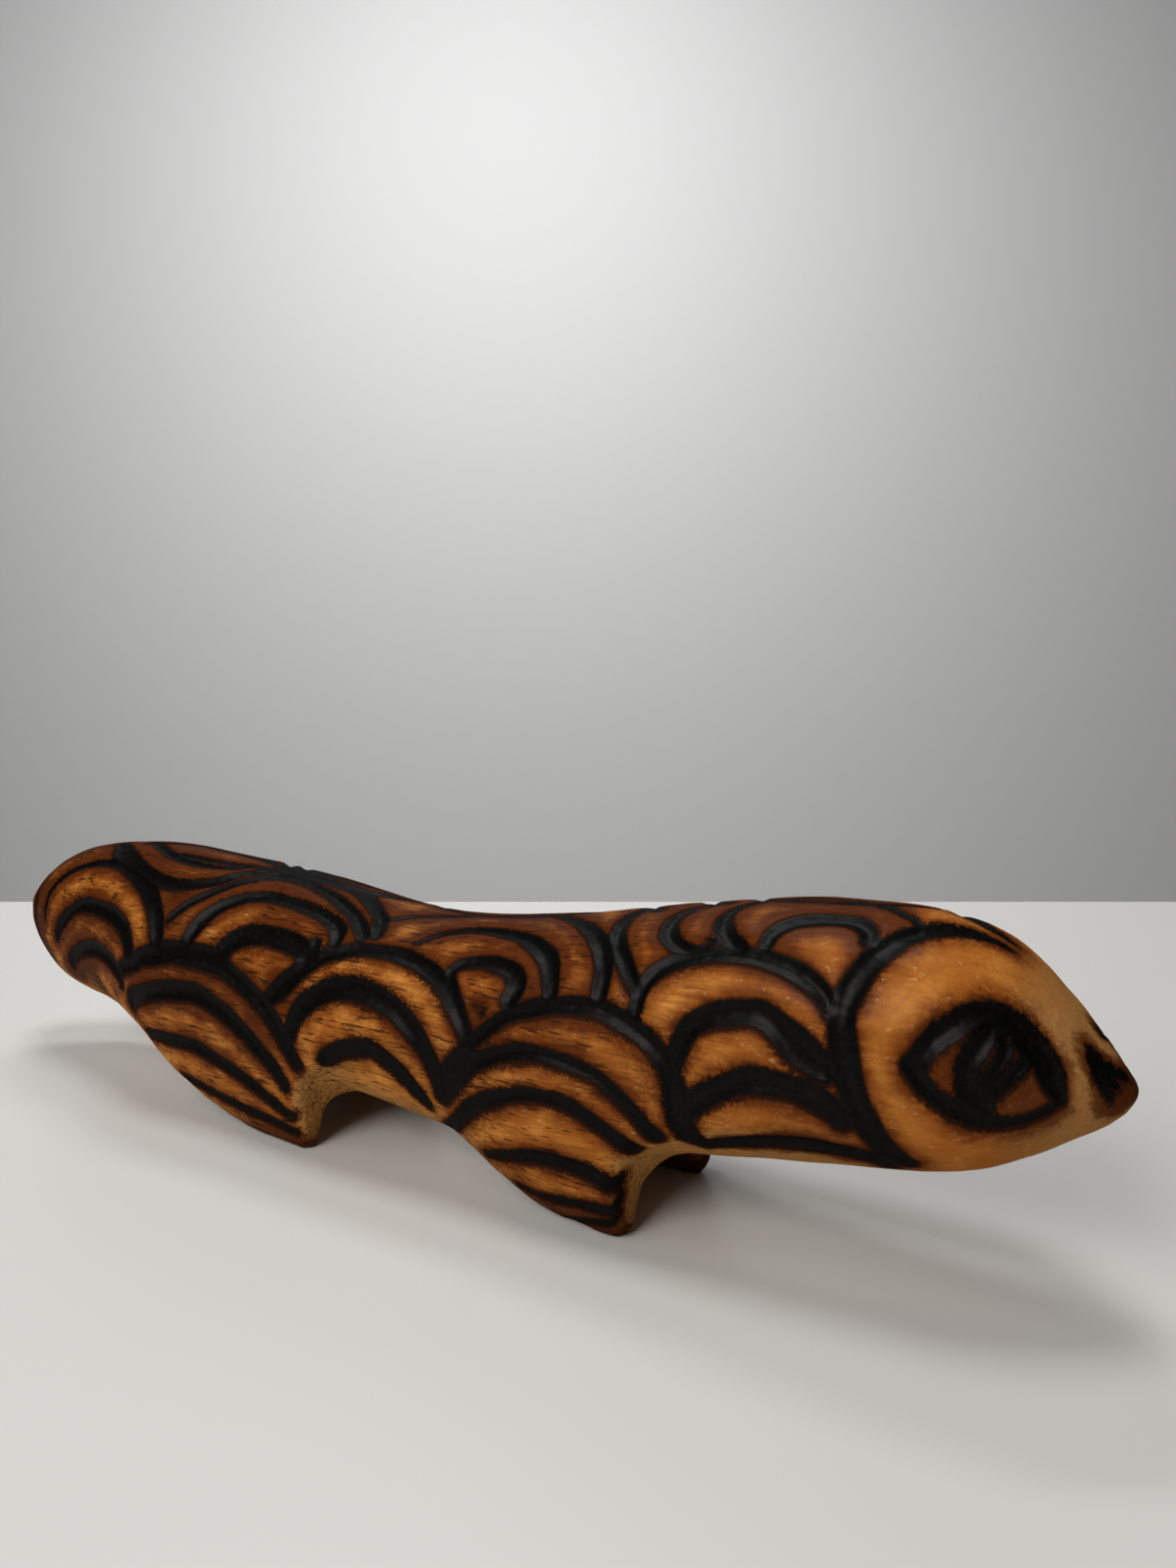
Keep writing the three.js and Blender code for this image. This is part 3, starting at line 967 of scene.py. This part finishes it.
@dataclass(frozen=True)
class Scorch:
    """The burn round a groove: how many mm from its edge char, rim, halo and glow start and are full.

    Their edges are frayed by fuzz, which comes and goes, and by broad patches and fibres.
    """

    char: Span = (0.14, -0.02)
    rim: Span = (0.52, 0.0)
    halo: Span = (1.15, -0.1)
    glow: Span = (2.7, 0.4)
    fine: Speckle = Speckle(2400.0, 4.0, 0.65)
    fuzz: Speckle = Speckle(90.0, 1.0, 0.5)
    fuzz_span: Span = (0.42, 0.60)
    fuzz_share: Span = (0.35, 1.25)
    warm_fuzz: float = 1.5
    patches: Speckle = Speckle(330.0, 2.0, 0.5)
    patch_mm: float = 2.4
    fibres: Speckle = Speckle(1900.0, 4.0, 0.7, (0.16, 1.0, 1.0))
    fibre_mm: float = 1.9
    smoke_and_shade_mm: float = 1.5

    def group(self) -> bpy.types.NodeTree:
        """A node group with char, its black rim, the red-brown halo and the amber glow.

        Returns:
            The group. Its inputs are the distances from the line's edge and heat, and the smoke and painted
            shade.
        """
        tree, n = new_group("scorch", ("Edge", "Heat", "Smoke"), ("Char", "Rim", "Halo", "Glow"))
        given = n.add("NodeGroupInput")
        where = given.outputs["Vector"]
        out = n.add("NodeGroupOutput")
        fuzz = n.fade(n.noise(where, self.fuzz), *self.fuzz_span, *self.fuzz_share)
        torn = n.math("MULTIPLY", n.swing(where, self.fine), fuzz)
        ragged = n.math("ADD", given.outputs["Edge"], torn)
        warm = n.math("ADD", given.outputs["Heat"], n.math("MULTIPLY", torn, self.warm_fuzz))
        patches = n.math("MULTIPLY", n.swing(where, self.patches), self.patch_mm)
        fibres = n.math("MULTIPLY", n.swing(where, self.fibres), self.fibre_mm)
        smoke_and_shade = n.math("MULTIPLY", given.outputs["Smoke"], self.smoke_and_shade_mm)
        smoke_and_shade_gap = n.math("SUBTRACT", n.math("ADD", warm, n.math("ADD", patches, fibres)), smoke_and_shade)
        for key, gap, span in (
            ("Char", ragged, self.char),
            ("Rim", warm, self.rim),
            ("Halo", smoke_and_shade_gap, self.halo),
            ("Glow", smoke_and_shade_gap, self.glow),
        ):
            n.put(out.inputs[key], n.fade(gap, *span))
        return tree


@dataclass(frozen=True)
class Crust:
    """The fine relief of the char, which the wood has more weakly."""

    ash: Speckle = Speckle(1500.0, 4.0, 0.65)
    ash_span: Span = (0.40, 0.68)
    gloss: Speckle = Speckle(900.0)
    gloss_span: Span = (0.3, 0.7)
    grit: Speckle = Speckle(2400.0, 4.0, 0.7)
    stray: Speckle = Speckle(700.0)
    stray_radians: float = 9.0
    ripple_pitch: float = 0.9
    ripple: float = 0.09
    on_char: float = 1.9
    on_wood: float = 0.25
    grain_relief: float = -0.35
    strength: float = 0.8
    distance: float = 0.16


@dataclass(frozen=True)
class BurntWood:
    """The figure's one finish: honey wood, bare cuts and charred lines."""

    finish: WoodFinish = WoodFinish()
    grain: Grain = Grain()
    scorch: Scorch = Scorch()
    crust: Crust = Crust()

    def wood(self, n: Nodes, where: object, edge: object, bare: object) -> tuple[bpy.types.NodeSocket, ...]:
        """Colour of the wood with its scorched margins.

        Args:
            n: helper on the material's tree.
            where: object coordinates.
            edge: distance from the burnt lines.
            bare: how raw the wood is.

        Returns:
            The colour, the char's share and the height of the grain.
        """
        f = self.finish
        smoke_and_shade, heat = n.attribute("smoke_and_shade"), n.attribute("heat_mm")
        marks = n.add("ShaderNodeGroup", node_tree=self.grain.group(), Vector=where)
        burn = n.add(
            "ShaderNodeGroup", node_tree=self.scorch.group(), Vector=where, Edge=edge, Heat=heat, Smoke=smoke_and_shade
        )
        streaks, hairs, pores, flecks, cloud = (
            marks.outputs[key] for key in ("Streaks", "Hairs", "Pores", "Flecks", "Cloud")
        )
        char, rim, halo, glow = (burn.outputs[key] for key in ("Char", "Rim", "Halo", "Glow"))
        polished = n.tint(streaks, f.streak_tint, n.mix(cloud, f.amber, f.honey), f.amber)
        polished = n.tint(glow, f.glow_tint, polished, f.rust)
        raw = n.tint(streaks, f.raw_streak_tint, f.bare, f.honey)
        wood = n.mix(bare, polished, raw)
        wood = n.tint(hairs, f.hair_tint, wood, f.rust)
        wood = n.tint(flecks, f.fleck_tint, wood, f.pale)
        # Smoke and painted shade redden the wood, and where they are strong they turn it umber.
        smoke_and_shade_strength = n.math("ADD", n.math("MULTIPLY", streaks, f.smoke_and_shade_streak_tint), f.smoke_and_shade_tint)
        wood = n.mix(n.math("MULTIPLY", smoke_and_shade, smoke_and_shade_strength), wood, f.red)
        wood = n.mix(n.fade(smoke_and_shade, f.deep_smoke_and_shade_from, 1.0, 0.0, f.deep_smoke_and_shade_tint), wood, f.umber)
        wood = n.tint(halo, f.halo_tint, wood, f.red)
        wood = n.tint(pores, f.pore_tint, wood, f.umber)
        wood = n.tint(rim, f.rim_tint, wood, f.umber)
        height = n.math("MULTIPLY", n.math("ADD", streaks, pores), self.crust.grain_relief)
        return wood, char, height

    def relief(self, n: Nodes, where: object, char: object, height: object) -> bpy.types.NodeSocket:
        """The normal with the grain and the rippled crust of the char.

        Args:
            n: helper on the material's tree.
            where: object coordinates.
            char: the char's share.
            height: the height of the grain.

        Returns:
            The normal.
        """
        c = self.crust
        run = n.math("MULTIPLY", n.attribute("run_mm"), 2 * math.pi / c.ripple_pitch)
        wavy = n.math("ADD", run, n.math("MULTIPLY", n.noise(where, c.stray), c.stray_radians))
        crust = n.math("ADD", n.math("MULTIPLY", n.math("SINE", wavy), c.ripple), n.noise(where, c.grit))
        crust = n.math("MULTIPLY", crust, n.math("ADD", n.math("MULTIPLY", char, c.on_char), c.on_wood))
        height = n.math("ADD", height, crust)
        bump = n.add("ShaderNodeBump", Strength=c.strength, Distance=c.distance * MM, Height=height)
        return bump.outputs[0]

    def material(self) -> bpy.types.Material:
        """Builds the node material.

        Returns:
            The material, with its Principled shader directly in it.
        """
        f, c = self.finish, self.crust
        made = bpy.data.materials.new("burnt_honey_wood")
        made.use_nodes = True
        made.node_tree.nodes.clear()
        n = Nodes(made.node_tree)
        where = n.add("ShaderNodeTexCoord").outputs["Object"]
        edge, bare = n.attribute("edge_mm"), n.attribute("bare")
        wood, char, height = self.wood(n, where, edge, bare)
        soot = n.mix(n.fade(n.noise(where, c.ash), *c.ash_span), f.char, f.ash)
        rough_wood = n.fade(bare, 0.0, 1.0, f.rough_wood, f.rough_bare)
        glossy, dull = (f.rough_char + spread for spread in f.rough_char_spread)
        rough_soot = n.fade(n.noise(where, c.gloss), *c.gloss_span, glossy, dull)
        unpolished = n.math("MAXIMUM", n.fade(edge, *f.polish_edge), bare)
        polish = n.math("MULTIPLY", n.math("SUBTRACT", 1.0, unpolished), f.polish)
        shader = n.add(
            "ShaderNodeBsdfPrincipled",
            Base_Color=n.mix(char, wood, soot),
            Roughness=n.mix(char, rough_wood, rough_soot, MixKind.NUMBER),
            Normal=self.relief(n, where, char, height),
            Coat_Weight=n.math("ADD", polish, n.math("MULTIPLY", char, f.sheen)),
            Coat_Roughness=f.coat_rough,
            Specular_IOR_Level=0.0,
        )
        n.add("ShaderNodeOutputMaterial", Surface=shader.outputs[0])
        return made


@dataclass(frozen=True)
class Lamp:
    """One soft area light, in metres and watts."""

    name: str
    place: Triple
    size: float
    power: float
    colour: Colour = (1.0, 1.0, 1.0)
    aim: Triple = (0.0, 0.0, 0.0)


@dataclass
class Studio:
    """The pale floor, the wall behind it, the soft lights and the camera at the photograph's angle."""

    camera_mm: Triple = (95.47, -113.83, 63.3)
    azimuth: float = 32.29
    pitch: float = 6.59
    focal_px: float = 1202.0
    frame_px: tuple[int, int] = (1200, 1600)
    sensor: float = 36.0
    floor_half: float = 1.6
    floor_back: float = 0.143
    floor_drop: float = 0.35
    wall_back: float = 0.9
    wall_height: float = 1.0
    floor_colour: Colour = (0.60, 0.59, 0.57)
    floor_rough: float = 0.34
    wall_colour: Colour = (0.60, 0.60, 0.60)
    sky_colour: Colour = (0.95, 0.97, 1.0)
    sky_strength: float = 0.07
    clip: Span = (0.005, 20.0)
    lamps: tuple[Lamp, ...] = (
        Lamp("key", (0.0, -0.46, 0.32), 0.28, 2.0, (1.0, 0.98, 0.95)),
        Lamp("fill", (-0.16, -0.38, 0.54), 0.34, 0.70, (1.0, 0.99, 0.98)),
        Lamp("glow", (-0.02, 0.0, 0.60), 0.20, 1.35),
        Lamp("wall", (-0.24, 0.26, 0.62), 0.30, 4.6, aim=(-0.48, 0.74, 0.10)),
    )

    def camera(self) -> None:
        """Places the camera and makes it the scene's own."""
        data = bpy.data.cameras.new("view")
        data.sensor_width = self.sensor
        data.lens = self.sensor * self.focal_px / max(self.frame_px)
        data.clip_start, data.clip_end = self.clip
        eye = bpy.data.objects.new("view", data)
        bpy.context.scene.collection.objects.link(eye)
        a, q = math.radians(self.azimuth), math.radians(self.pitch)
        ahead = Vector((-math.sin(a) * math.cos(q), math.cos(a) * math.cos(q), -math.sin(q)))
        eye.rotation_mode = "QUATERNION"
        eye.rotation_quaternion = ahead.to_track_quat("-Z", "Y")
        eye.location = Vector(self.camera_mm) * MM
        bpy.context.scene.camera = eye

    @staticmethod
    def paint(name: str, colour: Colour, **values: float) -> bpy.types.Material:
        """A plain paint.

        Args:
            name: the paint's name.
            colour: its linear colour.
            values: the shader's other sockets by name, with _ for a space.

        Returns:
            The material.
        """
        made = bpy.data.materials.new(name)
        made.use_nodes = True
        shader = made.node_tree.nodes["Principled BSDF"]
        shader.inputs["Base Color"].default_value = (*colour, 1.0)
        for key, value in values.items():
            shader.inputs[key.replace("_", " ")].default_value = value
        return made

    def ground_mesh(self) -> bpy.types.Mesh:
        """The floor, its step and the wall as one strip across the view.

        Returns:
            The mesh, turned to face the camera.
        """
        bm = bmesh.new()
        profile = (
            (self.floor_back, 0.0),
            (self.floor_back, -self.floor_drop),
            (self.wall_back, -self.floor_drop),
            (self.wall_back, self.wall_height),
        )
        ends = [bm.verts.new((x, -self.floor_half, 0.0)) for x in (-self.floor_half, self.floor_half)]
        edge = bm.edges.new(ends)
        y0, z0 = -self.floor_half, 0.0
        for y1, z1 in profile:
            grown = bmesh.ops.extrude_edge_only(bm, edges=[edge])["geom"]
            verts = [g for g in grown if isinstance(g, bmesh.types.BMVert)]
            bmesh.ops.translate(bm, verts=verts, vec=(0.0, y1 - y0, z1 - z0))
            edge = next(g for g in grown if isinstance(g, bmesh.types.BMEdge))
            y0, z0 = y1, z1
        turn = Matrix.Rotation(math.radians(self.azimuth), 4, "Z")
        bmesh.ops.transform(bm, matrix=turn, verts=bm.verts)
        mesh = bpy.data.meshes.new("floor")
        bm.to_mesh(mesh)
        bm.free()
        return mesh

    def floor(self) -> None:
        """Makes the floor, which ends in a step behind the figure, and the plain wall far beyond it."""
        mesh = self.ground_mesh()
        ground = bpy.data.objects.new("floor", mesh)
        bpy.context.scene.collection.objects.link(ground)
        mesh.materials.append(self.paint("pale_floor", self.floor_colour, Roughness=self.floor_rough))
        mesh.materials.append(self.paint("pale_wall", self.wall_colour, Specular_IOR_Level=0.0))
        for face in mesh.polygons:
            face.material_index = int(abs(face.normal.z) < 0.5)

    def light(self) -> None:
        """Adds the soft lamps and the even light from all round."""
        for lamp in self.lamps:
            data = bpy.data.lights.new(lamp.name, "AREA")
            data.shape, data.size = "DISK", lamp.size
            data.energy, data.color = lamp.power, lamp.colour
            made = bpy.data.objects.new(lamp.name, data)
            made.location = lamp.place
            made.rotation_mode = "QUATERNION"
            made.rotation_quaternion = (Vector(lamp.aim) - Vector(lamp.place)).to_track_quat("-Z", "Y")
            bpy.context.scene.collection.objects.link(made)
        world = bpy.data.worlds.new("soft_sky")
        world.use_nodes = True
        sky = world.node_tree.nodes["Background"]
        sky.inputs["Color"].default_value = (*self.sky_colour, 1.0)
        sky.inputs["Strength"].default_value = self.sky_strength
        bpy.context.scene.world = world

    def build(self) -> None:
        """Makes the whole setting."""
        bpy.context.scene.view_settings.view_transform = "Standard"
        self.camera()
        self.floor()
        self.light()
        LOG.info("studio: floor, %d lamps and camera", len(self.lamps))


def main() -> None:
    """Builds the setting and the figure."""
    logging.basicConfig(level=logging.INFO, format="%(name)s %(message)s")
    Studio().build()
    Figure().build()


if __name__ == "__main__":
    main()
